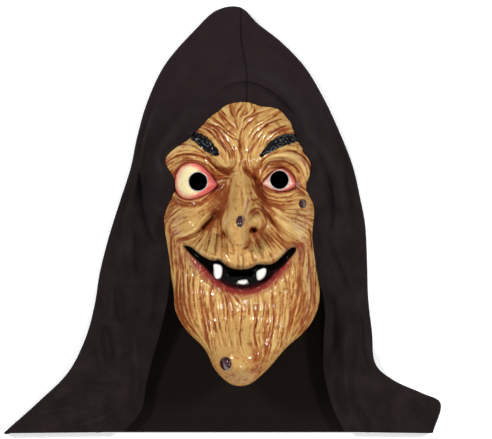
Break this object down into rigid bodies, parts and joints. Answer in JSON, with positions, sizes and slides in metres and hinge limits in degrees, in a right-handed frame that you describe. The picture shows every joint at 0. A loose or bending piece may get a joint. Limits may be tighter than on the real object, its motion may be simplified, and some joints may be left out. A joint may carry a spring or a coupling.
{
  "type": "witch mask",
  "caption": "Moulded grotesque witch face with eye holes, a toothed grin and a hooked nose, glued into the front of a black cloth hood that lies flat on its back.",
  "frame": {"origin": "on the flat underside of the hood's back layer, right under the nose of the face", "axes": "+Z out of the face and up from the surface it lies on, +Y to the hood's peak, +X to the right of someone who looks at the face"},
  "size_m": [0.3499, 0.3436, 0.094],
  "materials": {
    "vinyl": "painted moulded vinyl, brown wash in the creases, semi-gloss",
    "cloth": "black knitted jersey, matt"
  },
  "bodies": {
    "root": {"face": "vinyl", "hood": "cloth"}
  },
  "joints": []
}
